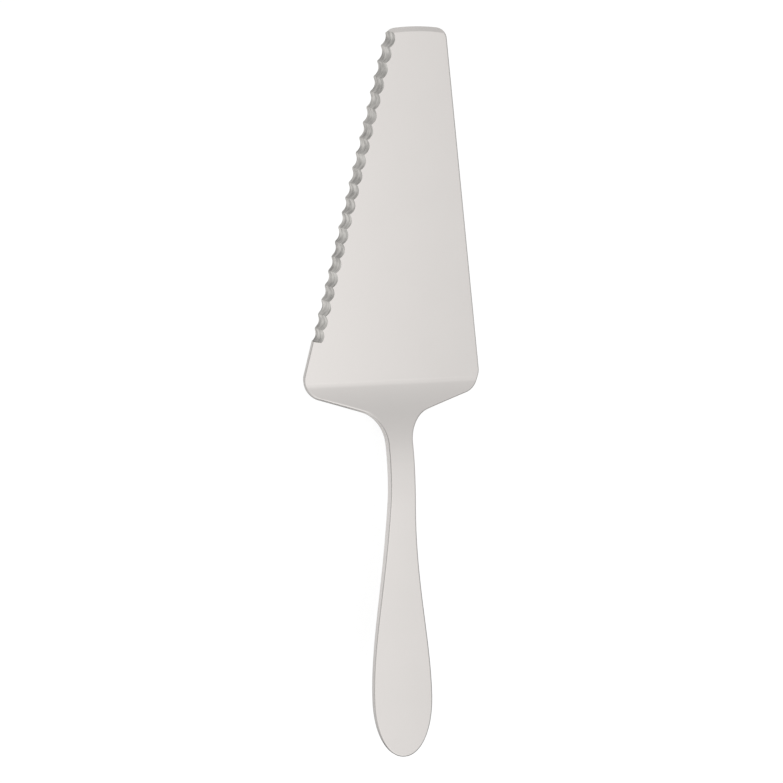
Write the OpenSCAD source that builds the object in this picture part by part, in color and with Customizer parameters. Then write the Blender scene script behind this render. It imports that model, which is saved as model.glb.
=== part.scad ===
// Cake server in stainless steel: a flat tapering blade with one toothed long edge, a raised
// shoulder and neck, and a solid drop-shaped handle that is welded on at the neck.
// Millimetres. +Y points to the front edge, +Z up, and the toothed edge is on -X.
// The origin is the middle of the blade's flat underside.

/* [Blade] */
// Length of the flat blade, from the heel crease to the front edge
blade_l = 125.8; // [110:0.2:140]
// Width between the long edges where they would meet the heel crease, but for the heel corners
heel_w = 68.8; // [60:0.2:76]
// Width to which the long edges draw in at the front edge
tip_w = 21.3; // [17:0.1:26]
// Thickness of the blade
blade_t = 2; // [1.6:0.1:2.4]
// Radius of the shallow front edge
front_r = 72; // [50:1:90]
// How far the crest of the front edge lies towards the plain long edge
front_lean = 3; // [0:0.5:4]
// Corner radius between the front edge and the plain long edge
plain_corner_r = 4.2; // [3:0.2:6]
// Corner radius between the front edge and the toothed long edge
toothed_corner_r = 4.6; // [1:0.2:6]
// Width of the bevel ground along the front edge
front_bevel_w = 1.5; // [1:0.1:2]
// Thickness that the bevel leaves at the front edge
front_land_t = 0.9; // [0.5:0.1:1.2]

/* [Teeth] */
// Distance from one tooth to the next along the toothed edge
tooth_pitch = 5.3; // [4:0.1:7]
// How far each scallop bites in from the tooth tips
scallop_depth = 1; // [0.6:0.1:1.2]
// Width of the ground band from the scallops' edge in to the top face
grind_w = 2.8; // [2.2:0.1:4]
// Width of the small flat left on each tooth tip
tooth_flat_w = 0.5; // [0.3:0.1:0.8]
// Plain stretch of the toothed edge from the heel crease to the last tooth
plain_heel_l = 15; // [10:0.5:20]
// How far the grind stops short of the last tooth's tip
grind_stop = 0.7; // [0:0.1:1.5]

/* [Shoulder and neck] */
// Distance from the heel crease back to where the two shoulder lines would meet
shoulder_l = 13.5; // [11:0.5:16]
// Radius of the two heel corners
heel_corner_r = 7.2; // [3:0.2:8.6]
// Angle of each shoulder line to the heel crease
shoulder_angle = 15.5; // [9:0.5:18]
// Radius that leads each shoulder into the neck
neck_fillet_r = 11; // [8:0.5:14]
// Width of the neck
neck_w = 9.6; // [8.5:0.1:12]
// Thickness of the neck
neck_t = 4; // [3.4:0.1:5]
// Length of the straight stretch of the neck
neck_l = 11; // [6:0.5:13]
// Distance behind the heel crease at which the metal begins to thicken
swell_start = 9; // [6:0.5:11]

/* [Side profile] */
// Radius of the heel crease on the top face
crease_r = 5; // [4:0.5:8]
// Slope at the end of the heel crease
crease_angle = 26; // [20:1:32]
// Radius of the hollow riser behind the crease
riser_r = 50; // [18:1:60]
// Slope at the end of the riser
riser_angle = 38; // [34:1:46]
// Radius of the crest that turns the neck back down
knee_r = 62; // [45:1:66]
// Slope at the end of the crest
neck_angle = 6; // [4:0.5:14]
// Slope at the end of the handle
end_angle = 19; // [10:0.5:22]

/* [Handle] */
// Distance from the heel crease to the end of the handle
handle_l = 134.2; // [120:0.2:150]
// Greatest width of the handle
grip_w = 23; // [19:0.2:27]
// Thickness of the handle at its widest place
grip_t = 2.7; // [2.2:0.1:3.4]
// Distance from the widest place to the end of the handle
end_l = 21; // [17:0.5:30]
// Fullness of the rounded end, where 2 is a plain ellipse
end_fullness = 2.1; // [2:0.1:2.8]
// Radius that softens the handle's edges
edge_r = 0.6; // [0.3:0.1:0.8]

/* [Joint at the neck] */
// Depth of the groove that the weld fills
groove_d = 0.9; // [0.6:0.1:1]
// Width of that groove at the surface
groove_w = 1.8; // [1.2:0.2:2.4]
// Length of the tang that locates the blade in the handle
tang_l = 6; // [4:0.5:7]
// Width of the tang
tang_w = 5; // [4:0.2:6]
// Thickness of the tang
tang_t = 1.2; // [1:0.1:1.4]
// Clearance round the tang in its socket
tang_clearance = 0.1; // [0.05:0.05:0.2]

/* [Hidden] */
$fn = 96;

// Overrun of every cut past the face that it opens
overrun = 1;
// Where the side curve of the handle leaves the neck and comes into the grip
neck_ease_share = 0.45;
grip_ease_share = 0.28;
// Steps of each curve that the forged stretch is made of
corner_steps = 12;
shoulder_steps = 6;
fillet_steps = 14;
side_steps = 22;
end_steps = 18;
edge_steps = 4;

// Slope of the long edges to the centre line
edge_angle = atan2((heel_w - tip_w)/2, blade_l);

// A smooth step from 0 to 1
function ease(u) = let (v = min(1, max(0, u))) v*v*(3 - 2*v);

// Point where two lines meet, each given by its normal's angle and its distance from zero
function meet(a1, d1, a2, d2) =
    [d1*sin(a2) - d2*sin(a1), d2*cos(a1) - d1*cos(a2)]/sin(a2 - a1);

// Side profile of the top face: four arcs, each with its radius and the slopes at its ends.
// A positive radius is hollow and a negative one crowned.
function arc_run(r, from, to) = r*(sin(to) - sin(from));
function arc_rise(r, from, to) = r*(cos(from) - cos(to));
knee_end = arc_run(crease_r, 0, crease_angle) + arc_run(riser_r, crease_angle, riser_angle)
    + arc_run(-knee_r, riser_angle, neck_angle);
sag_r = (handle_l - knee_end)/(sin(end_angle) - sin(neck_angle));
arcs = [
    [crease_r, 0, crease_angle],
    [riser_r, crease_angle, riser_angle],
    [-knee_r, riser_angle, neck_angle],
    [sag_r, neck_angle, end_angle],
];

// Distance behind the crease, and height, at which arc k begins
function arc_start(k) = k == 0 ? [0, blade_t]
    : arc_start(k - 1) + [arc_run(arcs[k - 1][0], arcs[k - 1][1], arcs[k - 1][2]),
                          arc_rise(arcs[k - 1][0], arcs[k - 1][1], arcs[k - 1][2])];
arc_starts = [for (k = [0:len(arcs) - 1]) arc_start(k)];
function arc_at(b) = max([for (k = [0:len(arcs) - 1]) if (k == 0 || b >= arc_starts[k][0]) k]);

// Slope and height of the top face at a distance b behind the crease
function slope(b) = let (k = arc_at(b)) asin(sin(arcs[k][1]) + (b - arc_starts[k][0])/arcs[k][0]);
function top(b) = let (k = arc_at(b)) arc_starts[k][1] + arcs[k][0]*(cos(arcs[k][1]) - cos(slope(b)));

// Point at x across, b behind the crease and d into the metal, square to the top face
function skin(x, b, d) = [x, -b - d*sin(slope(b)), top(b) - d*cos(slope(b))];

// Outline of the forged stretch seen from above, one row for each place:
// half width, distance behind the crease, and the angle of the outward normal.
function arc_rows(centre, r, from, to, steps) =
    [for (k = [0:steps]) let (a = from + (to - from)*k/steps)
        [centre.x + r*cos(a), centre.y + r*sin(a), a]];
function between(rows, steps) = [for (k = [1:steps - 1]) rows[0] + (rows[1] - rows[0])*k/steps];
edge_reach = cos(edge_angle)*heel_w/2;
shoulder_reach = cos(shoulder_angle)*shoulder_l;
heel_centre = meet(-edge_angle, edge_reach - heel_corner_r,
                   90 - shoulder_angle, shoulder_reach - heel_corner_r);
fillet_centre = meet(0, neck_w/2 + neck_fillet_r, 90 - shoulder_angle, shoulder_reach + neck_fillet_r);
neck_start = fillet_centre.y;
seam_b = neck_start + neck_l/2;
neck_end = neck_start + neck_l;
grip_b = handle_l - end_l;

// Row of the straight neck at a distance b behind the crease
function neck_row(b) = [neck_w/2, b, 0];

// Side of the handle from the neck to the widest place, a cubic curve
side_b = [neck_end, neck_end + neck_ease_share*(grip_b - neck_end),
          grip_b - grip_ease_share*(grip_b - neck_end), grip_b];
side_x = [neck_w, neck_w, grip_w, grip_w]/2;
function cubic(p, t) = let (s = 1 - t)
    s*s*s*p[0] + 3*s*s*t*p[1] + 3*s*t*t*p[2] + t*t*t*p[3];
function cubic_slope(p, t) = let (s = 1 - t)
    3*(s*s*(p[1] - p[0]) + 2*s*t*(p[2] - p[1]) + t*t*(p[3] - p[2]));
side_rows = [for (k = [0:side_steps - 1]) let (t = k/side_steps)
    [cubic(side_x, t), cubic(side_b, t), -atan2(cubic_slope(side_x, t), cubic_slope(side_b, t))]];

// Rounded end of the handle, a superellipse
end_power = 2/end_fullness;
end_rows = [for (k = [0:end_steps]) let (a = 90*k/end_steps, c = cos(a), s = sin(a))
    [pow(c, end_power)*grip_w/2, grip_b + pow(s, end_power)*end_l,
     atan2(pow(s, 2 - end_power)/end_l, pow(c, 2 - end_power)*2/grip_w)]];

// The heel corner may begin on the flat blade, and then the forged stretch has only its rest
plain_start = heel_centre.y > heel_corner_r*sin(edge_angle);
heel_start = plain_start ? -edge_angle : -asin(heel_centre.y/heel_corner_r);
heel_rows = arc_rows(heel_centre, heel_corner_r, heel_start, 90 - shoulder_angle, corner_steps);
crease_row = [plain_start ? heel_w/2 : heel_rows[0].x, 0, heel_start];
fillet_rows = arc_rows(fillet_centre, -neck_fillet_r, 90 - shoulder_angle, 0, fillet_steps);
blade_rows = concat(
    [crease_row],
    [for (k = [plain_start ? 0 : 1:corner_steps]) heel_rows[k]],
    between([heel_rows[corner_steps], fillet_rows[0]], shoulder_steps),
    fillet_rows,
    [neck_row(seam_b - groove_w/2)]);
handle_rows = concat([neck_row(seam_b + groove_w/2)], side_rows, end_rows);

// Thickness of the metal and softness of its edges at a distance b behind the crease
function thickness(b) = b < neck_end
    ? blade_t + (neck_t - blade_t)*ease((b - swell_start)/(neck_start - swell_start))
    : neck_t + (grip_t - neck_t)*ease((b - neck_end)/(grip_b - neck_end));
function softness(b) = edge_r*sqrt(min(1, max(0, b/neck_start)));

// Closed section of the metal at a row, with softened edges. It is drawn in by `inward` all round.
function edge_point(row, inward, f, under) = let (
        r = softness(row.y),
        inset = inward + r*(1 - sin(f)),
        b = row.y - inset*sin(row.z),
        d = inward + r*(1 - cos(f)))
    skin(row.x - inset*cos(row.z), b, under ? thickness(b) - d : d);
function ring(row, inward = 0) = let (
        angles = [for (k = [0:edge_steps]) 90*k/edge_steps],
        side = concat([for (f = angles) edge_point(row, inward, f, false)],
                      [for (k = [edge_steps:-1:0]) edge_point(row, inward, angles[k], true)]),
        n = len(side))
    concat(side, [for (k = [n - 1:-1:0]) [-side[k].x, side[k].y, side[k].z]]);
function rings(rows) = [for (row = rows) ring(row)];

// Skin over a row of closed rings. The row has end caps, or comes round on itself as a band.
// Equal points of a ring count as one, and triangles that shrink to nothing are left out.
module loft(rings, band = false) {
    n = len(rings[0]);
    all = n*len(rings);
    last = all - n;
    points = [for (r = rings) each r];
    walls = [for (i = [0:n:band ? last : last - n], j = [0:n - 1])
        let (a = i + j, b = i + (j + 1)%n, c = (a + n)%all, d = (b + n)%all)
        each [[a, d, c], [a, b, d]]];
    caps = [for (j = [0:n/2 - 2]) let (m = n - 1 - j)
        each [[j, m - 1, j + 1], [j, m, m - 1],
              [last + j, last + j + 1, last + m - 1], [last + j, last + m - 1, last + m]]];
    faces = band ? [for (f = walls) [f[0], f[2], f[1]]] : concat(walls, caps);
    own = [for (i = [0:all - 1]) min([for (j = [i - i%n:i]) if (points[j] == points[i]) j])];
    polyhedron(points, [for (f = faces) let (g = [own[f[0]], own[f[1]], own[f[2]]])
        if (g[0] != g[1] && g[1] != g[2] && g[2] != g[0]) g], convexity = 6);
}

// Both pieces are chamfered to this smaller section, where they meet inside the weld
root_ring = ring(neck_row(seam_b), groove_d);

// Centre of the front edge's arc
front_centre = [front_lean, blade_l - front_r];

// Rounding of a front corner: side is 1 for the plain edge and -1 for the toothed one
function edge_normal(side) = [side*cos(edge_angle), sin(edge_angle)];
function corner_centre(side, r) = let (
        n = edge_normal(side),
        along = [-n.y, n.x]*side,
        foot = n*(edge_reach - r),
        across = front_centre - foot,
        gap = front_r - r)
    foot + along*(across*along + sqrt(gap*gap - pow(across*n, 2)));

// What is cut away outside a rounding, from the direction n to the direction m
module corner_waste(c, r, n, m) {
    reach = r + overrun;
    difference() {
        polygon([c, c + n*reach, c + (n + m)*reach/(1 + n*m), c + m*reach]);
        translate(c) circle(r = r);
    }
}

module blade_outline() {
    difference() {
        intersection() {
            polygon([[-heel_w, 0]/2, [heel_w, 0]/2, [tip_w/2, blade_l], [-tip_w/2, blade_l]]);
            union() {
                translate(front_centre) circle(r = front_r);
                translate([-heel_w/2 - overrun, -overrun])
                    square([heel_w + 2*overrun, front_centre.y + overrun]);
            }
        }
        for (corner = [[1, plain_corner_r], [-1, toothed_corner_r]]) {
            c = corner_centre(corner[0], corner[1]);
            corner_waste(c, corner[1], edge_normal(corner[0]), (c - front_centre)/norm(c - front_centre));
        }
        for (side = [1, -1])
            corner_waste([side*heel_centre.x, -heel_centre.y], heel_corner_r, edge_normal(side),
                         [side*sin(shoulder_angle), -cos(shoulder_angle)]);
    }
}

// Scalloped grind: one round groove for each tooth gap, square to the edge and sloping through it
grind_angle = atan2(blade_t, grind_w);
front_corner_y = front_centre.y + sqrt(pow(front_r, 2) - pow(tip_w/2 + front_lean, 2));
scallop_n = round((front_corner_y/cos(edge_angle) - plain_heel_l)/tooth_pitch);
scallop_sag = scallop_depth*sin(grind_angle);
scallop_chord = tooth_pitch - tooth_flat_w;
scallop_r = (pow(scallop_chord, 2)/4 + pow(scallop_sag, 2))/(2*scallop_sag);
scallop_l = 4*(grind_w + scallop_depth + blade_t);

module scallop() {
    translate([scallop_depth, 0, 0]) rotate([0, -grind_angle, 0]) translate([0, 0, scallop_r])
        rotate([0, 90, 0]) cylinder(r = scallop_r, h = scallop_l, center = true);
}

module toothed_grind() {
    translate([-heel_w/2, 0, 0]) rotate([0, 0, -edge_angle]) intersection() {
        union() {
            for (k = [0:scallop_n - 1])
                translate([0, plain_heel_l + (k + 1/2)*tooth_pitch, 0]) scallop();
        }
        translate([-scallop_l, plain_heel_l + grind_stop, -scallop_l])
            cube([2*scallop_l, scallop_n*tooth_pitch + overrun, 2*scallop_l]);
    }
}

// Bevel along the front edge, a shallow cone about the centre of the front arc
module front_bevel() {
    flare = front_bevel_w/(blade_t - front_land_t);
    height = blade_t - front_land_t + 2*overrun;
    reach = tip_w/2 + front_lean + overrun;
    translate([front_centre.x, front_centre.y, front_land_t - overrun]) difference() {
        translate([-reach, 0, 0]) cube([2*reach, front_r + overrun, height]);
        cylinder(r1 = front_r + overrun*flare, r2 = front_r + (overrun - height)*flare, h = height);
    }
}

// Frame of the joint: the middle of the neck, with Y forward along the metal and Z out of its top
module at_seam() {
    translate(skin(0, seam_b, neck_t/2)) rotate([-slope(seam_b), 0, 0]) children();
}

module tang(clearance, root) {
    size = [tang_w + 2*clearance, tang_l + clearance + root, tang_t + 2*clearance];
    at_seam() translate([-size.x/2, -tang_l - clearance, -size.z/2]) cube(size);
}

module in_place() translate([0, -blade_l/2, 0]) children();

module blade() color("#d9d7d4") in_place() {
    difference() {
        union() {
            linear_extrude(blade_t) blade_outline();
            loft(concat(rings(blade_rows), [root_ring]));
            tang(0, groove_w);
        }
        toothed_grind();
        front_bevel();
    }
}

module handle() color("#d2d0cd") in_place() {
    difference() {
        loft(concat([root_ring], rings(handle_rows)));
        tang(tang_clearance, overrun);
    }
}

// Weld metal in the groove between the two chamfers, ground flush all round the neck
module weld_seam() color("#c4c1bd") in_place() {
    loft([ring(neck_row(seam_b - groove_w/2)), root_ring,
          ring(neck_row(seam_b + groove_w/2)), ring(neck_row(seam_b))], band = true);
}

blade();
handle();
weld_seam();
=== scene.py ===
"""Cake server in stainless steel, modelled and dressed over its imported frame.

Metres throughout. +Y points to the blade's front edge, +Z up, and the toothed edge is on -X.
Each piece starts as a flat blank that is measured from the heel crease. It is outlined, cut into
rows, thickened, softened along its edges and bent to the side profile. The blade's toothed edge
and its front edge are ground last.
"""

import logging
import math
from collections.abc import Callable, Iterable
from dataclasses import dataclass, field, replace
from enum import Enum

import bmesh
import bpy
from mathutils import Matrix, Vector


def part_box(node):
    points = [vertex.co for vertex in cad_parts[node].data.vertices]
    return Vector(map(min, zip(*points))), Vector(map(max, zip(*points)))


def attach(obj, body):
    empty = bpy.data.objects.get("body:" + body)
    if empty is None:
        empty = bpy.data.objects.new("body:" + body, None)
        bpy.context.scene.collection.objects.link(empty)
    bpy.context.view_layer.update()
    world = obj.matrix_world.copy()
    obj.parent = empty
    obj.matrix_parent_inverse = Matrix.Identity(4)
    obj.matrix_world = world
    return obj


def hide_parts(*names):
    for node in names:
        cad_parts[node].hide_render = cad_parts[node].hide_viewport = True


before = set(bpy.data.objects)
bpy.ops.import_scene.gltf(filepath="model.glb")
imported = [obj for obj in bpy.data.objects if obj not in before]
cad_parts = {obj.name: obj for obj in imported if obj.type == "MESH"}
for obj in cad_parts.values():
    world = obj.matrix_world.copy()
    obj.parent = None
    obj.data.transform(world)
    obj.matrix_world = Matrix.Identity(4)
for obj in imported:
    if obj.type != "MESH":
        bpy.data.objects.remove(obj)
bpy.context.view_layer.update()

MM = 0.001
UP = Vector((0.0, 0.0, 1.0))
WHITE = (1.0, 1.0, 1.0, 1.0)
WELD_DISTANCE = 1e-6
CUT_DISTANCE = 2e-6
Stops = tuple[tuple[float, float], ...]
Inputs = dict[str | int, object]
log = logging.getLogger("cake_server")


class Side(Enum):
    """The two long edges of the blade, each with the sign of its X."""

    PLAIN = 1
    TOOTHED = -1


class Way(Enum):
    """The two ways along the server, each with the sign of its Y."""

    FORWARD = 1
    BACK = -1


class Use(Enum):
    """What a tool's shape does to a piece."""

    CUT = "DIFFERENCE"
    JOIN = "UNION"


class Face(Enum):
    """Material slots of a piece: the polished skin and what the wheel has ground."""

    POLISHED = 0
    GROUND = 1


def meet(angle_a: float, reach_a: float, angle_b: float, reach_b: float) -> Vector:
    """Find where two lines of the plan cross.

    Args:
        angle_a: Direction of the first line's normal, in radians.
        reach_a: Distance of the first line from zero along that normal.
        angle_b: Direction of the second line's normal, in radians.
        reach_b: Distance of the second line from zero along that normal.

    Returns:
        The crossing point, in the blank's plane.
    """
    turn = math.sin(angle_b - angle_a)
    x = (reach_a * math.sin(angle_b) - reach_b * math.sin(angle_a)) / turn
    y = (reach_b * math.cos(angle_a) - reach_a * math.cos(angle_b)) / turn
    return Vector((x, y, 0.0))


def polar(angle: float, radius: float = 1.0) -> Vector:
    """Return the vector of that length and direction in the blank's plane."""
    return Vector((radius * math.cos(angle), radius * math.sin(angle), 0.0))


def ease(share: float) -> float:
    """Return a smooth step from 0 to 1 as share goes from 0 to 1."""
    held = min(1.0, max(0.0, share))
    return held * held * (3.0 - 2.0 * held)


def extent(points: Iterable[Iterable[float]]) -> tuple[Vector, Vector]:
    """Return the lowest and the highest corner of the box round some points."""
    axes = list(zip(*points))
    return Vector([min(values) for values in axes]), Vector([max(values) for values in axes])


@dataclass(frozen=True)
class Arc:
    """One arc of the side profile, hollow for a positive radius and crowned for a negative one."""

    radius: float
    start: float
    end: float

    @property
    def run(self) -> float:
        """Return how far back the arc reaches."""
        return self.radius * (math.sin(self.end) - math.sin(self.start))

    @property
    def rise(self) -> float:
        """Return how far up the arc climbs."""
        return self.radius * (math.cos(self.start) - math.cos(self.end))


@dataclass(frozen=True)
class SideProfile:
    """Side view of the top face, from the flat blade up the shoulder to the handle's end."""

    sheet: float = 2.0 * MM
    crease_radius: float = 5.0 * MM
    crease_angle: float = math.radians(26.0)
    riser_radius: float = 50.0 * MM
    riser_angle: float = math.radians(38.0)
    knee_radius: float = 62.0 * MM
    neck_angle: float = math.radians(6.0)
    end_angle: float = math.radians(19.0)
    length: float = 134.2 * MM

    def arcs(self) -> list[Arc]:
        """Return the four arcs in order from the heel crease back."""
        shoulder = [
            Arc(self.crease_radius, 0.0, self.crease_angle),
            Arc(self.riser_radius, self.crease_angle, self.riser_angle),
            Arc(-self.knee_radius, self.riser_angle, self.neck_angle),
        ]
        left = self.length - sum(arc.run for arc in shoulder)
        sag = left / (math.sin(self.end_angle) - math.sin(self.neck_angle))
        return [*shoulder, Arc(sag, self.neck_angle, self.end_angle)]

    def slope_and_height(self, back: float) -> tuple[float, float]:
        """Follow the profile to one place.

        Args:
            back: Distance behind the heel crease.

        Returns:
            The slope in radians and the height of the top face there.
        """
        if back <= 0.0:
            return 0.0, self.sheet
        start, height = 0.0, self.sheet
        arcs = self.arcs()
        for arc in arcs:
            if back <= start + arc.run or arc is arcs[-1]:
                slope = math.asin(math.sin(arc.start) + (back - start) / arc.radius)
                return slope, height + arc.radius * (math.cos(arc.start) - math.cos(slope))
            start += arc.run
            height += arc.rise
        raise ValueError(f"no arc of the side profile reaches {back}")

    def place(self, flat: Vector) -> Vector:
        """Bend one point of the flat blank to the profile.

        Args:
            flat: Point with its height measured from the blank's top face.

        Returns:
            The same point on the bent piece, still measured from the heel crease.
        """
        slope, height = self.slope_and_height(-flat.y)
        return Vector((
            flat.x,
            flat.y + flat.z * math.sin(slope),
            height + flat.z * math.cos(slope),
        ))


@dataclass(frozen=True)
class PlanView:
    """Outline of the server seen from above, before it is bent."""

    blade_length: float = 125.8 * MM
    heel_width: float = 68.8 * MM
    tip_width: float = 21.3 * MM
    front_radius: float = 72.0 * MM
    front_lean: float = 3.0 * MM
    plain_corner: float = 4.2 * MM
    toothed_corner: float = 4.6 * MM
    shoulder_length: float = 13.5 * MM
    heel_corner: float = 7.2 * MM
    shoulder_angle: float = math.radians(15.5)
    neck_fillet: float = 11.0 * MM
    neck_width: float = 9.6 * MM
    neck_length: float = 11.0 * MM
    grip_width: float = 23.0 * MM
    end_length: float = 21.0 * MM
    end_fullness: float = 2.1
    neck_ease_share: float = 0.45
    grip_ease_share: float = 0.28

    @property
    def edge_angle(self) -> float:
        """Return the slope of the long edges to the centre line."""
        return math.atan2((self.heel_width - self.tip_width) / 2.0, self.blade_length)

    @property
    def edge_reach(self) -> float:
        """Return the distance of a long edge's line from the middle of the crease."""
        return math.cos(self.edge_angle) * self.heel_width / 2.0

    @property
    def shoulder_normal(self) -> float:
        """Return the direction that the plain side's shoulder line faces."""
        return self.shoulder_angle - math.pi / 2.0

    @property
    def shoulder_reach(self) -> float:
        """Return the distance of a shoulder's line from the middle of the crease."""
        return math.cos(self.shoulder_angle) * self.shoulder_length

    @property
    def heel_centre(self) -> Vector:
        """Return the centre of the plain side's heel corner."""
        return meet(
            self.edge_angle, self.edge_reach - self.heel_corner,
            self.shoulder_normal, self.shoulder_reach - self.heel_corner,
        )

    @property
    def fillet_centre(self) -> Vector:
        """Return the centre of the plain side's neck fillet."""
        return meet(
            0.0, self.neck_width / 2.0 + self.neck_fillet,
            self.shoulder_normal, self.shoulder_reach + self.neck_fillet,
        )

    @property
    def neck_start(self) -> float:
        """Return how far behind the crease the straight neck starts."""
        return -self.fillet_centre.y

    @property
    def seam(self) -> float:
        """Return how far behind the crease the blade and the handle meet."""
        return self.neck_start + self.neck_length / 2.0

    @property
    def neck_end(self) -> float:
        """Return how far behind the crease the straight neck ends."""
        return self.neck_start + self.neck_length

    @property
    def front_centre(self) -> Vector:
        """Return the centre of the front edge's arc."""
        return Vector((self.front_lean, self.blade_length - self.front_radius, 0.0))

    def front_corner(self, side: Side, radius: float) -> Vector:
        """Find the centre of a rounded front corner.

        Args:
            side: The long edge that the corner joins to the front edge.
            radius: Radius of the corner.

        Returns:
            The point at that radius inside both the long edge and the front arc.
        """
        normal = Vector((side.value * math.cos(self.edge_angle), math.sin(self.edge_angle), 0.0))
        along = Vector((-normal.y, normal.x, 0.0)) * side.value
        foot = normal * (self.edge_reach - radius)
        across = self.front_centre - foot
        gap = self.front_radius - radius
        reach = across.dot(along) + math.sqrt(gap**2 - across.dot(normal) ** 2)
        return foot + along * reach


@dataclass(frozen=True)
class Thickness:
    """Thickness of the metal from the sheet, through the forged neck, to the grip."""

    plan: PlanView
    profile: SideProfile
    neck: float = 4.0 * MM
    grip: float = 2.7 * MM
    swell_start: float = 9.0 * MM

    @property
    def sheet(self) -> float:
        """Return the thickness of the flat blade."""
        return self.profile.sheet

    @property
    def widest(self) -> float:
        """Return how far behind the crease the grip is widest and thinnest."""
        return self.profile.length - self.plan.end_length

    def at(self, back: float) -> float:
        """Measure the metal at one place.

        Args:
            back: Distance behind the heel crease.

        Returns:
            The thickness there, square to the top face.
        """
        if back < self.plan.neck_end:
            share = (back - self.swell_start) / (self.plan.neck_start - self.swell_start)
            return self.sheet + (self.neck - self.sheet) * ease(share)
        share = (back - self.plan.neck_end) / (self.widest - self.plan.neck_end)
        return self.neck + (self.grip - self.neck) * ease(share)


class Outline:
    """A scribed line round a blank: straight runs, and arcs that a spin draws."""

    def __init__(self, start: Vector) -> None:
        """Start the line.

        Args:
            start: Its first point, in the blank's plane.
        """
        self.bm = bmesh.new()
        self.tip = bmesh.ops.create_vert(self.bm, co=start)["vert"][0]

    def line(self, end: Vector) -> None:
        """Draw a straight run.

        Args:
            end: Where the run ends.
        """
        made = bmesh.ops.extrude_vert_indiv(self.bm, verts=[self.tip])
        self.tip = made["verts"][0]
        bmesh.ops.translate(self.bm, verts=[self.tip], vec=end - self.tip.co)

    def arc(self, centre: Vector, turn: float, steps: int, axis: Vector = UP) -> None:
        """Draw an arc.

        Args:
            centre: Centre of the arc.
            turn: Angle that it turns through, anticlockwise about the axis.
            steps: Number of short edges in it.
            axis: Direction of the arc's axis.
        """
        made = bmesh.ops.spin(
            self.bm, geom=[self.tip], cent=centre, axis=axis, angle=turn, steps=steps,
            use_duplicate=False,
        )
        self.tip = next(v for v in made["geom_last"] if isinstance(v, bmesh.types.BMVert))

    def fill(self) -> bmesh.types.BMesh:
        """Close the line, fill it with one face and hand over the mesh."""
        bmesh.ops.remove_doubles(self.bm, verts=self.bm.verts, dist=WELD_DISTANCE)
        loose = [v for v in self.bm.verts if len(v.link_edges) == 1]
        if loose:
            bmesh.ops.contextual_create(self.bm, geom=loose)
        bmesh.ops.contextual_create(self.bm, geom=self.bm.edges[:])
        return self.bm


def cut_rows(bm: bmesh.types.BMesh, first: float, last: float, spacing: float) -> None:
    """Cut a flat blank into rows across, so that it can be bent.

    Args:
        bm: The blank, one flat face or more.
        first: Distance behind the crease of the first row.
        last: Distance behind the crease of the last row.
        spacing: Widest gap between the even rows, which join those at the outline's points.
    """
    crowded = spacing / 3.0
    count = math.ceil((last - first) / spacing)
    places = {round(-v.co.y, 6) for v in bm.verts if first <= -v.co.y <= last} | {first, last}
    for step in range(count + 1):
        back = first + (last - first) * step / count
        if min(abs(back - place) for place in places) > crowded:
            places.add(back)
    for back in sorted(places):
        bmesh.ops.bisect_plane(
            bm, geom=[*bm.verts, *bm.edges, *bm.faces], dist=CUT_DISTANCE,
            plane_co=(0.0, -back, 0.0), plane_no=(0.0, 1.0, 0.0),
        )


def thicken(bm: bmesh.types.BMesh, pull: Vector) -> None:
    """Pull a flat shape out into a solid.

    Args:
        bm: The shape, one face or more in a plane.
        pull: Way from each point of the shape to the far side of the solid.
    """
    made = bmesh.ops.extrude_face_region(bm, geom=bm.faces[:])["geom"]
    far_side = [v for v in made if isinstance(v, bmesh.types.BMVert)]
    bmesh.ops.translate(bm, verts=far_side, vec=pull)
    bmesh.ops.recalc_face_normals(bm, faces=bm.faces)


def soften(
    bm: bmesh.types.BMesh, radius: float, segments: int, wanted: Callable[[Vector], bool]
) -> None:
    """Round the edges between a plate's flat faces and its walls.

    Args:
        bm: The plate.
        radius: Radius of the rounding.
        segments: Number of facets round it.
        wanted: Says of an edge's middle point whether that edge is rounded.
    """
    edges = []
    for edge in bm.edges:
        walls = [abs(face.normal.z) < 0.5 for face in edge.link_faces]
        middle = (edge.verts[0].co + edge.verts[1].co) / 2.0
        if len(walls) == 2 and sum(walls) == 1 and wanted(middle):
            edges.append(edge)
    bmesh.ops.bevel(
        bm, geom=edges, offset=radius, offset_type="OFFSET", segments=segments, profile=0.5,
        affect="EDGES", clamp_overlap=False, loop_slide=True, material=-1,
    )


def bend(bm: bmesh.types.BMesh, profile: SideProfile, thickness: Thickness, crease: float) -> None:
    """Swell a plate to its thickness, bend it to the side profile and set it in the frame.

    Args:
        bm: The plate, with its top face at zero height.
        profile: Side profile of the top face.
        thickness: Thickness of the metal from place to place.
        crease: How far the heel crease lies behind the frame's origin.
    """
    for vert in bm.verts:
        if vert.co.z < -thickness.sheet / 2.0:
            vert.co.z -= thickness.at(-vert.co.y) - thickness.sheet
        vert.co = profile.place(vert.co)
    bmesh.ops.translate(bm, verts=bm.verts, vec=(0.0, -crease, 0.0))


def mark_shading(bm: bmesh.types.BMesh, crisp: float) -> None:
    """Shade every face smooth and keep a hard line where two faces meet at a crisp angle.

    Args:
        bm: The mesh.
        crisp: Least angle of an edge that stays a hard line.
    """
    for face in bm.faces:
        face.smooth = True
    for edge in bm.edges:
        edge.smooth = len(edge.link_faces) != 2 or edge.calc_face_angle(0.0) < crisp


def to_object(bm: bmesh.types.BMesh, name: str) -> bpy.types.Object:
    """Turn a bmesh into an object of the scene.

    Args:
        bm: The mesh, which is freed.
        name: Name of the object and of its mesh.

    Returns:
        The object, at the origin, unturned and unscaled.
    """
    mesh = bpy.data.meshes.new(name)
    bm.to_mesh(mesh)
    bm.free()
    piece = bpy.data.objects.new(name, mesh)
    bpy.context.scene.collection.objects.link(piece)
    return piece


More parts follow.
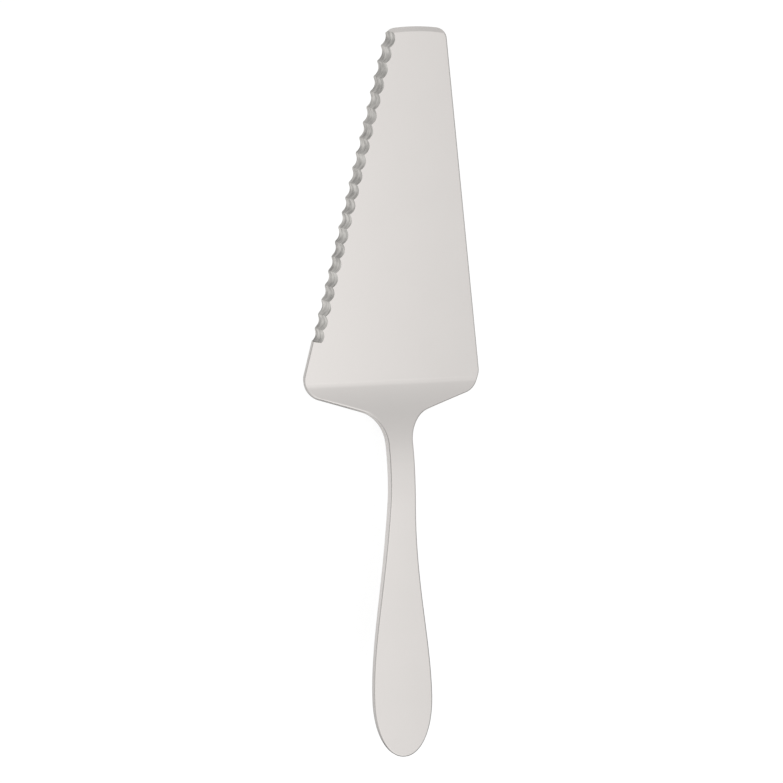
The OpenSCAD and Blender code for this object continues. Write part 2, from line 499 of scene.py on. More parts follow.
def settle(piece: bpy.types.Object) -> None:
    """Apply every modifier of a piece, so that its mesh is what shows.

    Args:
        piece: The piece, which keeps its name and materials.
    """
    depsgraph = bpy.context.evaluated_depsgraph_get()
    finished = bpy.data.meshes.new_from_object(
        piece.evaluated_get(depsgraph), preserve_all_data_layers=True, depsgraph=depsgraph
    )
    rough = piece.data
    piece.modifiers.clear()
    piece.data = finished
    bpy.data.meshes.remove(rough)
    finished.name = piece.name


def combine(piece: bpy.types.Object, tool: bpy.types.Object, use: Use) -> None:
    """Take a tool's shape out of a piece, or join it on, and put the tool away.

    Args:
        piece: The piece that is worked.
        tool: A closed mesh that stands where the metal goes or comes.
        use: Whether the tool's shape is cut out or joined on.
    """
    work = piece.modifiers.new(tool.name, "BOOLEAN")
    work.operation = use.value
    work.solver = "EXACT"
    work.object = tool
    settle(piece)
    spent = tool.data
    bpy.data.objects.remove(tool)
    bpy.data.meshes.remove(spent)


def finish_shading(piece: bpy.types.Object, crisp: float) -> None:
    """Give a piece its hard lines and let its broad faces rule the shading.

    Args:
        piece: The piece, which must have no live modifiers.
        crisp: Least angle of an edge that stays a hard line, in radians.
    """
    bm = bmesh.new()
    bm.from_mesh(piece.data)
    bmesh.ops.remove_doubles(bm, verts=bm.verts, dist=WELD_DISTANCE)
    bmesh.ops.dissolve_degenerate(bm, edges=bm.edges, dist=WELD_DISTANCE)
    mark_shading(bm, crisp)
    bm.to_mesh(piece.data)
    bm.free()
    weights = piece.modifiers.new("broad_faces", "WEIGHTED_NORMAL")
    weights.mode = "FACE_AREA"
    weights.weight = 100
    weights.keep_sharp = True
    settle(piece)


def put_on(piece: bpy.types.Object, *finishes: bpy.types.Material) -> None:
    """Fill the slots of a piece and keep which faces use which slot.

    Args:
        piece: The piece.
        finishes: Its finishes, in the order of Face.
    """
    used = [polygon.material_index for polygon in piece.data.polygons]
    piece.data.materials.clear()
    for finish in finishes:
        piece.data.materials.append(finish)
    piece.data.polygons.foreach_set("material_index", used)


def feed(tree: bpy.types.NodeTree, node: bpy.types.Node, inputs: Inputs) -> None:
    """Set the inputs of a node, or link them to what feeds them.

    Args:
        tree: The node's tree.
        node: The node.
        inputs: A value or another node's output for each input, by its name or number.
    """
    for name, value in inputs.items():
        if isinstance(value, bpy.types.NodeSocket):
            tree.links.new(value, node.inputs[name])
        else:
            node.inputs[name].default_value = value


def add_node(
    tree: bpy.types.NodeTree, kind: str, inputs: Inputs, operation: str | None = None
) -> bpy.types.Node:
    """Add a node to a tree and feed it.

    Args:
        tree: The tree.
        kind: Blender's name for the kind of node.
        inputs: A value or another node's output for each input, by its name or number.
        operation: What the node works out, where its kind has a choice.

    Returns:
        The node.
    """
    node = tree.nodes.new(kind)
    if operation:
        node.operation = operation
    feed(tree, node, inputs)
    return node


@dataclass(frozen=True)
class SteelFinish:
    """A finish of stainless steel: tone, gloss, and the grain that the belt or wheel leaves."""

    name: str
    colour: tuple[float, float, float]
    tone_swing: float
    tone_spread: float
    roughness: float
    roughness_swing: float
    cloud_scale: float
    grain_stretch: tuple[float, float, float]
    grain_height: float
    grain_in_tone: float
    cloud_detail: float = 3.0
    grain_detail: float = 4.0
    grain_roughness: float = 0.6

    def material(self) -> bpy.types.Material:
        """Build the finish as a node material on object coordinates."""
        made = bpy.data.materials.new(self.name)
        made.use_nodes = True
        tree = made.node_tree
        place = tree.nodes.new("ShaderNodeTexCoord").outputs["Object"]
        cloud = add_node(tree, "ShaderNodeTexNoise", {
            "Scale": self.cloud_scale, "Detail": self.cloud_detail, "Vector": place,
        })
        stretch = add_node(tree, "ShaderNodeMapping", {"Scale": self.grain_stretch, "Vector": place})
        grain = add_node(tree, "ShaderNodeTexNoise", {
            "Scale": 1.0, "Detail": self.grain_detail, "Roughness": self.grain_roughness,
            "Vector": stretch.outputs["Vector"],
        })
        shade = add_node(tree, "ShaderNodeMix", {
            "Factor": self.grain_in_tone, "A": cloud.outputs["Fac"], "B": grain.outputs["Fac"],
        })
        tone = add_node(tree, "ShaderNodeValToRGB", {"Fac": shade.outputs["Result"]})
        dark = [channel * (1.0 - self.tone_swing) for channel in self.colour]
        for element, offset, colour in zip(
            tone.color_ramp.elements, (-self.tone_spread, self.tone_spread), (dark, self.colour)
        ):
            element.position = 0.5 + offset
            element.color = (*colour, 1.0)
        gloss = add_node(tree, "ShaderNodeMapRange", {
            "To Min": self.roughness - self.roughness_swing,
            "To Max": self.roughness + self.roughness_swing,
            "Value": shade.outputs["Result"],
        })
        relief = add_node(tree, "ShaderNodeBump", {
            "Strength": 1.0, "Distance": self.grain_height, "Height": grain.outputs["Fac"],
        })
        feed(tree, tree.nodes["Principled BSDF"], {
            "Metallic": 1.0,
            "Base Color": tone.outputs["Color"],
            "Roughness": gloss.outputs["Result"],
            "Normal": relief.outputs["Normal"],
        })
        return made


SATIN = SteelFinish(
    name="satin_steel",
    colour=(0.722, 0.693, 0.672),
    tone_swing=0.03,
    tone_spread=0.2,
    roughness=0.25,
    roughness_swing=0.04,
    cloud_scale=60.0,
    grain_stretch=(4500.0, 160.0, 4500.0),
    grain_height=3e-7,
    grain_in_tone=0.5,
)
GROUND = SteelFinish(
    name="ground_steel",
    colour=(0.84, 0.817, 0.782),
    tone_swing=0.38,
    tone_spread=0.09,
    roughness=0.28,
    roughness_swing=0.05,
    cloud_scale=400.0,
    grain_stretch=(200.0, 200.0, 2000.0),
    grain_height=2e-5,
    grain_in_tone=0.75,
)
WELDED = replace(SATIN, name="dressed_weld", colour=(0.718, 0.690, 0.669), roughness=0.26)


@dataclass(frozen=True)
class Groove:
    """The V groove round the neck that the weld fills."""

    width: float = 1.8 * MM
    depth: float = 0.9 * MM

    def draw_in(self, bm: bmesh.types.BMesh, verts: list[bmesh.types.BMVert]) -> None:
        """Shrink a section of a flat plate to the narrow root at the bottom of the groove.

        Args:
            bm: The plate.
            verts: The section's points, which all lie in one plane across the plate.
        """
        low, high = extent(vert.co for vert in verts)
        size = high - low
        share = (1.0 - 2.0 * self.depth / size.x, 1.0, 1.0 - 2.0 * self.depth / size.z)
        bmesh.ops.scale(
            bm, verts=verts, vec=share, space=Matrix.Translation(-(low + high) / 2.0)
        )

    def chamfer(self, bm: bmesh.types.BMesh, back: float, way: Way) -> None:
        """Draw the end of a plate out to the root inside the weld.

        Args:
            bm: The plate.
            back: Distance behind the crease of its end face.
            way: Which way the root lies from that face.
        """
        end = [f for f in bm.faces if all(abs(v.co.y + back) < WELD_DISTANCE for v in f.verts)]
        made = bmesh.ops.extrude_face_region(bm, geom=end)["geom"]
        root = [v for v in made if isinstance(v, bmesh.types.BMVert)]
        bmesh.ops.delete(bm, geom=end, context="FACES_ONLY")
        bmesh.ops.translate(bm, verts=root, vec=(0.0, way.value * self.width / 2.0, 0.0))
        self.draw_in(bm, root)
        bmesh.ops.recalc_face_normals(bm, faces=bm.faces)


@dataclass(frozen=True)
class Tang:
    """The short tongue on the blade that locates it in the handle's blind socket."""

    plan: PlanView
    profile: SideProfile
    thickness: Thickness
    length: float = 6.0 * MM
    width: float = 5.0 * MM
    height: float = 1.2 * MM
    clearance: float = 0.1 * MM

    def block(self, clearance: float, root: float) -> bpy.types.Object:
        """Build the tongue or the shape of its socket, in place at the seam.

        Args:
            clearance: Room round the tongue.
            root: How far the block reaches forward of the seam.

        Returns:
            The block as a closed mesh.
        """
        size = Vector((self.width, self.length + root + clearance, self.height))
        size += Vector((2.0 * clearance, 0.0, 2.0 * clearance))
        slope, _ = self.profile.slope_and_height(self.plan.seam)
        middle = self.profile.place(Vector((0.0, -self.plan.seam, -self.thickness.neck / 2.0)))
        middle.y -= self.plan.blade_length / 2.0
        bm = bmesh.new()
        bmesh.ops.create_cube(bm, size=1.0)
        bmesh.ops.scale(bm, verts=bm.verts, vec=size)
        bmesh.ops.translate(bm, verts=bm.verts, vec=(0.0, root - size.y / 2.0, 0.0))
        bmesh.ops.rotate(bm, verts=bm.verts, matrix=Matrix.Rotation(-slope, 3, "X"))
        bmesh.ops.translate(bm, verts=bm.verts, vec=middle)
        return to_object(bm, "tang_block")


@dataclass(kw_only=True)
class Forging:
    """What the blade, the handle and the weld between them share."""

    plan: PlanView
    profile: SideProfile
    thickness: Thickness
    groove: Groove
    edge_radius: float = 0.6 * MM
    edge_facets: int = 6
    crisp: float = math.radians(20.0)
    piece: bpy.types.Object | None = field(default=None, repr=False)

    @property
    def groove_front(self) -> float:
        """Return how far behind the crease the blade's end face lies."""
        return self.plan.seam - self.groove.width / 2.0

    @property
    def groove_back(self) -> float:
        """Return how far behind the crease the handle's end face lies."""
        return self.plan.seam + self.groove.width / 2.0

    def form(self, bm: bmesh.types.BMesh, name: str) -> None:
        """Bend a flat piece to the server's shape and keep it.

        Args:
            bm: The flat piece.
            name: Name of its object.
        """
        bend(bm, self.profile, self.thickness, self.plan.blade_length / 2.0)
        self.piece = to_object(bm, name)


@dataclass(kw_only=True)
class Blade(Forging):
    """The flat blade with its ground edges, its shoulder and the front half of the neck."""

    tang: Tang
    tooth_pitch: float = 5.3 * MM
    scallop_depth: float = 1.0 * MM
    grind_width: float = 2.8 * MM
    tooth_flat: float = 0.5 * MM
    plain_heel: float = 15.0 * MM
    grind_stop: float = 0.7 * MM
    bevel_width: float = 1.5 * MM
    front_land: float = 0.9 * MM
    row_spacing: float = 0.3 * MM
    fillet_steps: int = 28
    heel_steps: int = 24
    plain_corner_steps: int = 16
    toothed_corner_steps: int = 12
    front_steps: int = 32
    scallop_steps: int = 24
    bevel_steps: int = 48

    @property
    def scallop_count(self) -> int:
        """Return how many scallops fit from the plain heel to the front corner."""
        half = self.plan.tip_width / 2.0 + self.plan.front_lean
        front = self.plan.front_centre.y + math.sqrt(self.plan.front_radius**2 - half**2)
        room = front / math.cos(self.plan.edge_angle) - self.plain_heel
        return round(room / self.tooth_pitch)

    def outline(self) -> bmesh.types.BMesh:
        """Scribe the blank round from the neck's plain side and fill it."""
        plan = self.plan
        half_neck = plan.neck_width / 2.0
        fillet_turn = math.pi / 2.0 - plan.shoulder_angle
        heel_turn = fillet_turn + plan.edge_angle
        line = Outline(Vector((half_neck, -self.groove_front, 0.0)))
        line.line(Vector((half_neck, -plan.neck_start, 0.0)))
        line.arc(plan.fillet_centre, -fillet_turn, self.fillet_steps)
        line.line(plan.heel_centre + polar(plan.shoulder_normal, plan.heel_corner))
        line.arc(plan.heel_centre, heel_turn, self.heel_steps)

        corner = plan.front_corner(Side.PLAIN, plan.plain_corner)
        line.line(corner + polar(plan.edge_angle, plan.plain_corner))
        out = corner - plan.front_centre
        rise = math.atan2(out.y, out.x)
        line.arc(corner, rise - plan.edge_angle, self.plain_corner_steps)
        corner = plan.front_corner(Side.TOOTHED, plan.toothed_corner)
        out = corner - plan.front_centre
        fall = math.atan2(out.y, out.x)
        line.arc(plan.front_centre, fall - rise, self.front_steps)
        line.arc(corner, math.pi - plan.edge_angle - fall, self.toothed_corner_steps)

        line.line(self.toothed_heel + self.along * self.soft_run)
        heel = Vector((-plan.heel_centre.x, plan.heel_centre.y, 0.0))
        line.line(heel + polar(math.pi - plan.edge_angle, plan.heel_corner))
        line.arc(heel, heel_turn, self.heel_steps)
        fillet = Vector((-plan.fillet_centre.x, plan.fillet_centre.y, 0.0))
        line.line(fillet + polar(fillet_turn, plan.neck_fillet))
        line.arc(fillet, -fillet_turn, self.fillet_steps)
        line.line(Vector((-half_neck, -self.groove_front, 0.0)))
        return line.fill()

    @property
    def soft_run(self) -> float:
        """Return how far the softened underside runs, into the first scallop's middle."""
        return self.plain_heel + self.tooth_pitch / 2.0

    @property
    def toothed_heel(self) -> Vector:
        """Return where the line of the toothed edge crosses the crease."""
        return Vector((-self.plan.heel_width / 2.0, 0.0, 0.0))

    @property
    def along(self) -> Vector:
        """Return the direction of the toothed edge, towards the front."""
        return polar(math.pi / 2.0 - self.plan.edge_angle)

    def is_softened(self, middle: Vector) -> bool:
        """Say whether the wheel softens an edge.

        Args:
            middle: Middle point of the edge, in the flat blank.

        Returns:
            False at the neck's end and along the underside of the toothed stretch.
        """
        if middle.y < -self.groove_front + WELD_DISTANCE:
            return False
        if middle.z > -self.thickness.sheet / 2.0:
            return True
        offset = middle - self.toothed_heel
        from_edge = offset.dot(polar(-self.plan.edge_angle))
        return from_edge > self.edge_radius or offset.dot(self.along) < self.soft_run

    def grind_wheel(self) -> bpy.types.Object:
        """Build the scalloped shape that the wheel takes out of the toothed edge."""
        sheet = self.thickness.sheet
        pitch_angle = math.atan2(sheet, self.grind_width)
        sag = self.scallop_depth * math.sin(pitch_angle)
        chord = self.tooth_pitch - self.tooth_flat
        radius = (chord**2 / 4.0 + sag**2) / (2.0 * sag)
        along = self.along
        inward = polar(-self.plan.edge_angle)
        groove = (inward * self.grind_width + UP * sheet).normalized()
        out = groove.cross(along).normalized()
        if out.z < 0.0:
            out.negate()
        heel = self.toothed_heel - UP * sheet
        floor = heel + inward * self.scallop_depth + along * self.plain_heel
        half_turn = math.asin(self.tooth_pitch / 2.0 / radius)
        first_turn = math.asin((self.tooth_pitch / 2.0 - self.grind_stop) / radius)
        ridge = radius * (1.0 - math.cos(half_turn))
        stop = floor + along * self.grind_stop
        clear = 3.0 * sheet

        line = Outline(stop + out * clear)
        line.line(stop + out * radius * (1.0 - math.cos(first_turn)))
        for scallop in range(self.scallop_count):
            middle = floor + along * (scallop + 0.5) * self.tooth_pitch + out * radius
            lead = half_turn if scallop else first_turn
            line.arc(middle, lead + half_turn, self.scallop_steps, axis=along.cross(out))
        line.line(line.tip.co + out * (clear - ridge))
        bm = line.fill()
        reach = 4.0 * (self.grind_width + sheet)
        thicken(bm, groove * reach)
        bmesh.ops.translate(bm, verts=bm.verts, vec=-groove * reach / 2.0)
        return self.set_down(bm, "scallop_wheel", Face.GROUND)

    def bevel_wheel(self) -> bpy.types.Object:
        """Build the shallow cone that the wheel takes off the front edge."""
        plan = self.plan
        sheet = self.thickness.sheet
        fall = sheet - self.front_land
        slope = self.bevel_width / fall
        over = 1.0 * MM
        half = math.asin((plan.tip_width / 2.0 + plan.front_lean + over) / plan.front_radius)
        start = plan.front_centre + polar(math.pi / 2.0 - half, plan.front_radius)
        outward = (start - plan.front_centre).normalized()
        line = Outline(start + outward * over * slope - UP * (fall + over))
        line.line(start - outward * (self.bevel_width + over * slope) + UP * over)
        line.line(start + outward * over * slope + UP * over)
        bm = line.fill()
        bmesh.ops.spin(
            bm, geom=bm.faces[:], cent=plan.front_centre, axis=UP, angle=2.0 * half,
            steps=self.bevel_steps, use_duplicate=False,
        )
        bmesh.ops.recalc_face_normals(bm, faces=bm.faces)
        return self.set_down(bm, "bevel_wheel", Face.POLISHED)

    def set_down(self, bm: bmesh.types.BMesh, name: str, left: Face) -> bpy.types.Object:
        """Move a grinding shape from the blank to the frame.

        Args:
            bm: The shape, measured from the blank's top face and heel crease.
            name: Name of the tool.
            left: Finish of the faces that the tool leaves on the blade.

        Returns:
            The tool, with its faces in that finish's slot.
        """
        lift = Vector((0.0, -self.plan.blade_length / 2.0, self.profile.sheet))
        bmesh.ops.translate(bm, verts=bm.verts, vec=lift)
        for face in bm.faces:
            face.material_index = left.value
        return to_object(bm, name)

    def build(self) -> bpy.types.Object:
        """Make the blade from its blank and grind its edges."""
        bm = self.outline()
        cut_rows(bm, 0.0, self.groove_front, self.row_spacing)
        thicken(bm, -UP * self.thickness.sheet)
        soften(bm, self.edge_radius, self.edge_facets, self.is_softened)
        self.groove.chamfer(bm, self.groove_front, Way.BACK)
        self.form(bm, "blade_body")
        combine(self.piece, self.grind_wheel(), Use.CUT)
        combine(self.piece, self.bevel_wheel(), Use.CUT)
        combine(self.piece, self.tang.block(0.0, self.groove.width), Use.JOIN)
        finish_shading(self.piece, self.crisp)
        return self.piece

    def dress(self, polished: bpy.types.Material, ground: bpy.types.Material) -> None:
        """Give the blade its finishes and its place in the frame.

        Args:
            polished: Finish of the skin.
            ground: Finish of the scallops.
        """
        put_on(self.piece, polished, ground)
        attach(self.piece, "root")
        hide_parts("blade")


@dataclass(kw_only=True)
class Handle(Forging):
    """The solid forged handle, from the back half of the neck to its rounded end."""

    tang: Tang
    side_steps: int = 48
    end_steps: int = 40
    row_spacing: float = 1.2 * MM
    plain_end: float = 7.0 * MM

    def side(self, share: float) -> Vector:
        """Follow the side of the handle from the neck to the widest place, a cubic curve.

        Args:
            share: 0 at the neck and 1 at the widest place.

        Returns:
            The point on the plain side.
        """
        plan, widest = self.plan, self.thickness.widest
        run = widest - plan.neck_end
        backs = (
            plan.neck_end, plan.neck_end + plan.neck_ease_share * run,
            widest - plan.grip_ease_share * run, widest,
        )
        halves = (plan.neck_width, plan.neck_width, plan.grip_width, plan.grip_width)
        rest = 1.0 - share
        weights = (rest**3, 3.0 * rest**2 * share, 3.0 * rest * share**2, share**3)
        x = sum(weight * half / 2.0 for weight, half in zip(weights, halves))
        back = sum(weight * value for weight, value in zip(weights, backs))
        return Vector((x, -back, 0.0))

    def end(self, angle: float) -> Vector:
        """Follow the rounded end, a superellipse.

        Args:
            angle: 0 at the widest place and a quarter turn at the end.

        Returns:
            The point on the plain side.
        """
        power = 2.0 / self.plan.end_fullness
        x = max(0.0, math.cos(angle)) ** power * self.plan.grip_width / 2.0
        past = math.sin(angle) ** power * self.plan.end_length
        return Vector((x, -self.thickness.widest - past, 0.0))

    def outline(self) -> bmesh.types.BMesh:
        """Scribe the plain side, mirror it and fill the blank."""
        line = Outline(Vector((self.plan.neck_width / 2.0, -self.groove_back, 0.0)))
        for step in range(self.side_steps + 1):
            line.line(self.side(step / self.side_steps))
        for step in range(1, self.end_steps + 1):
            line.line(self.end(math.pi / 2.0 * step / self.end_steps))
        bmesh.ops.mirror(
            line.bm, geom=[*line.bm.verts, *line.bm.edges], matrix=Matrix.Identity(4),
            merge_dist=WELD_DISTANCE, axis="X",
        )
        return line.fill()

    def build(self) -> bpy.types.Object:
        """Make the handle from its blank."""
        bm = self.outline()
        cut_rows(bm, self.groove_back, self.profile.length - self.plain_end, self.row_spacing)
        thicken(bm, -UP * self.thickness.sheet)
        behind = -self.groove_back - WELD_DISTANCE
        soften(bm, self.edge_radius, self.edge_facets, lambda middle: middle.y < behind)
        self.groove.chamfer(bm, self.groove_back, Way.FORWARD)
        self.form(bm, "handle_body")
        combine(self.piece, self.tang.block(self.tang.clearance, self.groove.width), Use.CUT)
        finish_shading(self.piece, self.crisp)
        return self.piece

    def dress(self, polished: bpy.types.Material) -> None:
        """Give the handle its finish and its place in the frame.

        Args:
            polished: Finish of the skin.
        """
        put_on(self.piece, polished)
        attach(self.piece, "root")
        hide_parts("handle")


@dataclass(kw_only=True)
class WeldSeam(Forging):
    """The band of weld metal in the groove round the neck, dressed flush."""

    rows: int = 4

    def open_root(self, bm: bmesh.types.BMesh) -> None:
        """Hollow the length of neck out to the V that the two chamfered ends leave.

        Args:
            bm: The length of neck, solid and flat.
        """
        self.groove.chamfer(bm, self.groove_front, Way.BACK)
        self.groove.chamfer(bm, self.groove_back, Way.FORWARD)
        rims = [
            face for face in bm.faces
            if all(abs(vert.co.y + self.plan.seam) < WELD_DISTANCE for vert in face.verts)
        ]
        bmesh.ops.delete(bm, geom=rims, context="FACES_ONLY")
        bmesh.ops.remove_doubles(bm, verts=bm.verts, dist=WELD_DISTANCE)
        bmesh.ops.recalc_face_normals(bm, faces=bm.faces)

    def build(self) -> bpy.types.Object:
        """Make the band from a short length of the neck."""
        half = self.plan.neck_width / 2.0
        first, last = self.groove_front, self.groove_back
        line = Outline(Vector((half, -first, 0.0)))
        line.line(Vector((-half, -first, 0.0)))
        line.line(Vector((-half, -last, 0.0)))
        line.line(Vector((half, -last, 0.0)))
        bm = line.fill()
        cut_rows(bm, first, last, self.groove.width / self.rows)
        thicken(bm, -UP * self.thickness.sheet)
        reach = self.groove.width / 2.0 - WELD_DISTANCE
        soften(
            bm, self.edge_radius, self.edge_facets,
            lambda middle: abs(middle.y + self.plan.seam) < reach,
        )
        self.open_root(bm)
        self.form(bm, "weld_band")
        finish_shading(self.piece, self.crisp)
        return self.piece

    def dress(self, dressed: bpy.types.Material) -> None:
        """Give the weld its finish and its place in the frame.

        Args:
            dressed: Finish of the ground-flush weld.
        """
        put_on(self.piece, dressed)
        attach(self.piece, "root")
        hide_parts("weld_seam")


@dataclass(frozen=True)
class ProductCamera:
    """Camera above the blade, leaning to the toothed side and to the front."""

    target: tuple[float, float, float] = (0.00035, -0.0683, 0.0)
    distance: float = 0.5514
    lean_left: float = math.radians(20.0)
    lean_front: float = math.radians(18.0)
    roll: float = math.radians(3.85)
    focal_pixels: float = 1500.0
    frame_pixels: float = 783.0
    sensor: float = 36.0
    nearest: float = 0.01
    farthest: float = 10.0

    def build(self) -> bpy.types.Object:
        """Set up the camera and make it the scene's own."""
        data = bpy.data.cameras.new("product_camera")
        data.sensor_width = self.sensor
        data.lens = self.sensor * self.focal_pixels / self.frame_pixels
        data.clip_start = self.nearest
        data.clip_end = self.farthest
        x, y = -math.sin(self.lean_left), math.sin(self.lean_front)
        back = Vector((x, y, math.sqrt(1.0 - x * x - y * y)))
        up = (Vector((0.0, 1.0, 0.0)) - back * back.y).normalized()
        right = up.cross(back)
        camera = bpy.data.objects.new("product_camera", data)
        turn = Matrix((right, up, back)).transposed().to_4x4()
        roll = Matrix.Rotation(self.roll, 4, "Z")
        spot = Vector(self.target) + back * self.distance
        camera.matrix_world = Matrix.Translation(spot) @ turn @ roll
        bpy.context.scene.collection.objects.link(camera)
        bpy.context.scene.camera = camera
        return camera


def multiply(
    tree: bpy.types.NodeTree, value: bpy.types.NodeSocket, factor: bpy.types.NodeSocket | float
) -> bpy.types.NodeSocket:
    """Multiply a value in a node tree.

    Args:
        tree: The nodes.
        value: The value.
        factor: A number, or the socket of a second value.

    Returns:
        The product.
    """
    return add_node(tree, "ShaderNodeMath", {0: value, 1: factor}, "MULTIPLY").outputs[0]


def grade(
    tree: bpy.types.NodeTree, value: bpy.types.NodeSocket, stops: Stops, top: float = 1.0
) -> bpy.types.NodeSocket:
    """Turn a value into a brightness that runs from stop to stop and stays level beyond them.

    Args:
        tree: The nodes.
        value: The value.
        stops: Pairs of a value and its brightness, from the lowest value on.
        top: Brightness that comes out as 1.

    Returns:
        The brightness, as a part of the top.
    """
    first, last = stops[0][0], stops[-1][0]
    span = add_node(tree, "ShaderNodeMapRange", {
        "From Min": first, "From Max": last, "Value": value,
    })
    ramp = add_node(tree, "ShaderNodeValToRGB", {"Fac": span.outputs["Result"]})
    elements = ramp.color_ramp.elements
    for _ in stops[2:]:
        elements.new(0.5)
    for element, (along, brightness) in zip(elements, stops):
        element.position = (along - first) / (last - first)
        element.color = (*[brightness / top] * 3, 1.0)
    return ramp.outputs["Color"]


def towards(
    tree: bpy.types.NodeTree, place: bpy.types.NodeSocket, axis: tuple[float, float, float],
    stops: Stops, top: float = 1.0,
) -> bpy.types.NodeSocket:
    """Grade a place or a direction by how far it lies along an axis.

    Args:
        tree: The nodes.
        place: The place, or a direction of length 1.
        axis: The axis, of any length.
        stops: Pairs of the way along the axis and the brightness there.
        top: Brightness that comes out as 1.

    Returns:
        The brightness, as a part of the top.
    """
    along = add_node(
        tree, "ShaderNodeVectorMath", {0: place, 1: Vector(axis).normalized()}, "DOT_PRODUCT"
    )
    return grade(tree, along.outputs["Value"], stops, top)


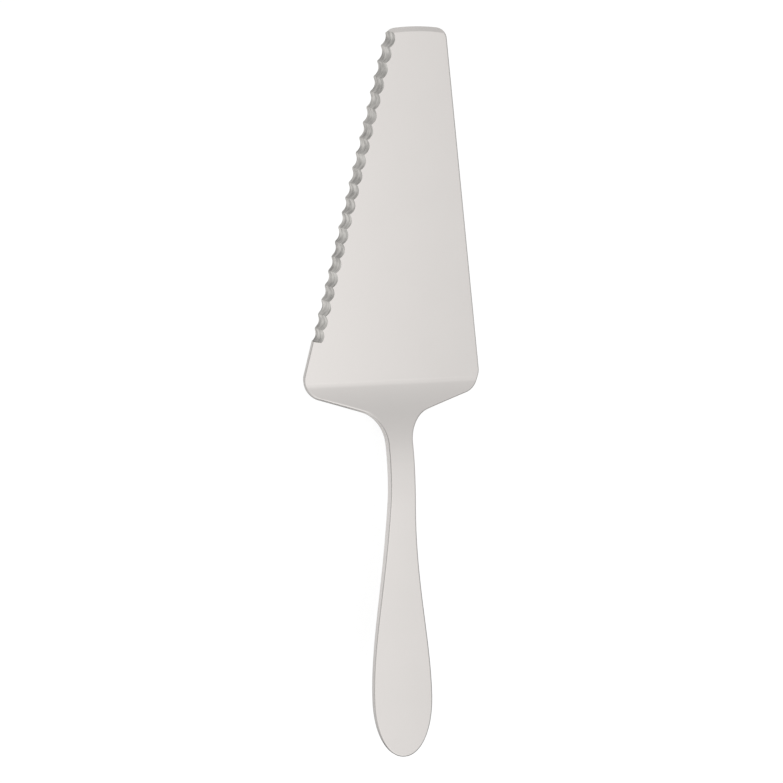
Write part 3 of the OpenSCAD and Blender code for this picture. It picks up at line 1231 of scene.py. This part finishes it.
@dataclass(frozen=True)
class Studio:
    """A white table in a pale room that is brightest overhead.

    The camera sees pure white past the table, and on it too but for a faint shadow. In the
    steel's reflections the table is white paper with painted shade past the handle's end and a
    painted shadow under the shoulder.
    """

    table_size: float = 4.0
    table_roughness: float = 0.9
    table_seen: float = 0.25
    table_seen_fill: float = 0.86
    table_reflected: float = 0.95
    table_reflected_fill: float = 0.22
    # Painted shade: in the steel's reflections the table darkens along this axis, past the handle's
    # end.
    painted_shade_axis: tuple[float, float, float] = (0.7, -1.0, 0.0)
    painted_shade_stops: Stops = (
        (0.03, 0.84), (0.07, 1.0), (0.112, 1.0), (0.135, 0.80), (0.157, 0.70), (0.171, 0.58),
        (0.180, 0.45), (0.185, 0.28), (0.195, 0.20),
    )
    # Painted shadow: in the steel's reflections the table darkens in a round patch under the
    # shoulder.
    painted_shadow_centre: tuple[float, float, float] = (-0.020, -0.073, 0.0)
    painted_shadow_stops: Stops = ((0.008, 0.50), (0.020, 1.0))
    crown: tuple[float, float, float] = (0.0, -0.35, 0.94)
    from_crown: Stops = (
        (-0.30, 0.72), (0.35, 0.755), (0.50, 0.80), (0.60, 0.86), (0.70, 0.955),
        (0.82, 0.95), (0.90, 0.955), (0.93, 1.0), (0.97, 1.05),
    )
    right: tuple[float, float, float] = (1.0, 0.0, 0.0)
    from_right: Stops = (
        (-1.0, 0.75), (-0.60, 0.88), (-0.20, 1.0), (0.10, 1.18), (0.24, 1.25),
        (0.30, 1.22), (0.34, 1.0), (0.36, 0.945), (0.44, 0.91), (1.0, 0.50),
    )
    from_right_ahead: Stops = (
        (-1.0, 0.75), (-0.60, 0.88), (-0.20, 1.0), (0.10, 1.12), (0.24, 1.12),
        (0.30, 1.08), (0.34, 0.97), (0.38, 0.96), (0.44, 1.0), (0.60, 1.02), (1.0, 0.50),
    )
    ahead: tuple[float, float, float] = (0.0, 1.0, 0.0)
    from_ahead: Stops = ((0.10, 0.0), (0.30, 1.0))
    screen: tuple[float, float, float] = (-0.75, 0.55, 0.35)
    from_screen: Stops = ((0.42, 1.0), (0.66, 0.94), (0.78, 0.88), (0.92, 0.72))
    doorway: tuple[float, float, float] = (0.30, -0.85, 0.25)
    from_doorway: Stops = ((0.70, 1.0), (0.80, 0.62), (0.90, 0.42), (1.0, 0.35))
    ramp_top: float = 1.25

    def build_table(self) -> bpy.types.Object:
        """Lay the table in the plane of the server's resting face."""
        bm = bmesh.new()
        bmesh.ops.create_grid(bm, x_segments=2, y_segments=2, size=self.table_size / 2.0)
        table = to_object(bm, "table")
        paint = bpy.data.materials.new("table_white_painted_shade")
        paint.use_nodes = True
        tree = paint.node_tree
        rays = tree.nodes.new("ShaderNodeLightPath").outputs
        place = tree.nodes.new("ShaderNodeTexCoord").outputs["Object"]
        mirrored = add_node(tree, "ShaderNodeMath", {
            0: rays["Is Glossy Ray"], 1: rays["Is Transmission Ray"],
        }, "MAXIMUM")
        # Painted shade and shadow: for reflected rays the table's colour and glow are darkened past
        # the handle's end and round a spot under the shoulder, by place alone.
        far = add_node(tree, "ShaderNodeVectorMath", {0: place, 1: self.painted_shadow_centre}, "DISTANCE")
        painted_shade_past_end = towards(tree, place, self.painted_shade_axis, self.painted_shade_stops)
        painted_shadow_under_shoulder = grade(tree, far.outputs["Value"], self.painted_shadow_stops)
        shade = multiply(tree, painted_shade_past_end, painted_shadow_under_shoulder)
        fill = multiply(tree, shade, self.table_reflected_fill)
        colour = add_node(tree, "ShaderNodeMix", {
            "Factor": rays["Is Camera Ray"], "A": multiply(tree, shade, self.table_reflected),
            "B": self.table_seen,
        })
        glow = add_node(tree, "ShaderNodeMix", {
            "Factor": rays["Is Camera Ray"], "A": multiply(tree, fill, mirrored.outputs[0]),
            "B": self.table_seen_fill,
        })
        feed(tree, tree.nodes["Principled BSDF"], {
            "Roughness": self.table_roughness,
            "Specular IOR Level": 0.0,
            "Base Color": colour.outputs["Result"],
            "Emission Color": WHITE,
            "Emission Strength": glow.outputs["Result"],
        })
        table.data.materials.append(paint)
        return table

    def light_room(self) -> None:
        """Light the room, with a grey screen and a doorway, but show the camera plain white."""
        world = bpy.data.worlds.new("studio_room")
        bpy.context.scene.world = world
        world.use_nodes = True
        tree = world.node_tree
        place = tree.nodes.new("ShaderNodeTexCoord").outputs["Generated"]
        across = add_node(tree, "ShaderNodeMix", {
            "Factor": towards(tree, place, self.ahead, self.from_ahead),
            "A": towards(tree, place, self.right, self.from_right, self.ramp_top),
            "B": towards(tree, place, self.right, self.from_right_ahead, self.ramp_top),
        })
        factors = [
            towards(tree, place, axis, stops, self.ramp_top)
            for axis, stops in (
                (self.crown, self.from_crown), (self.screen, self.from_screen),
                (self.doorway, self.from_doorway),
            )
        ]
        factors.append(across.outputs["Result"])
        light = factors[0]
        for factor in factors[1:]:
            light = multiply(tree, light, factor)
        room = tree.nodes["Background"]
        feed(tree, room, {"Color": light, "Strength": self.ramp_top ** len(factors)})
        backdrop = add_node(tree, "ShaderNodeBackground", {"Color": WHITE})
        rays = tree.nodes.new("ShaderNodeLightPath").outputs
        choice = add_node(tree, "ShaderNodeMixShader", {
            0: rays["Is Camera Ray"], 1: room.outputs[0], 2: backdrop.outputs[0],
        })
        feed(tree, tree.nodes["World Output"], {"Surface": choice.outputs["Shader"]})

    def build(self) -> None:
        """Set up the table and the light, with plain colour handling."""
        self.build_table()
        self.light_room()
        bpy.context.scene.view_settings.view_transform = "Standard"


def report(piece: bpy.types.Object, node: str) -> None:
    """Log a piece's size beside the solid that it stands for.

    Args:
        piece: The dressed piece.
        node: Name of the solid in the frame.
    """
    low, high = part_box(node)
    least, most = extent(piece.bound_box)
    gap = max(abs(value) for value in (*(least - low), *(most - high)))
    log.info(
        "%s: %d faces, %.1f x %.1f x %.1f mm, within %.2f mm of %s",
        piece.name, len(piece.data.polygons), *((most - least) / MM), gap / MM, node,
    )


def main() -> None:
    """Set up the camera, make, dress and report each piece, and set up the studio."""
    logging.basicConfig(level=logging.INFO, format="%(message)s")
    ProductCamera().build()
    plan, profile = PlanView(), SideProfile()
    thickness = Thickness(plan, profile)
    tang = Tang(plan, profile, thickness)
    shared = {"plan": plan, "profile": profile, "thickness": thickness, "groove": Groove()}
    satin, ground, welded = SATIN.material(), GROUND.material(), WELDED.material()

    blade = Blade(tang=tang, **shared)
    blade.build()
    blade.dress(satin, ground)
    report(blade.piece, "blade")

    handle = Handle(tang=tang, **shared)
    handle.build()
    handle.dress(satin)
    report(handle.piece, "handle")

    seam = WeldSeam(**shared)
    seam.build()
    seam.dress(welded)
    report(seam.piece, "weld_seam")

    Studio().build()


if __name__ == "__main__":
    main()
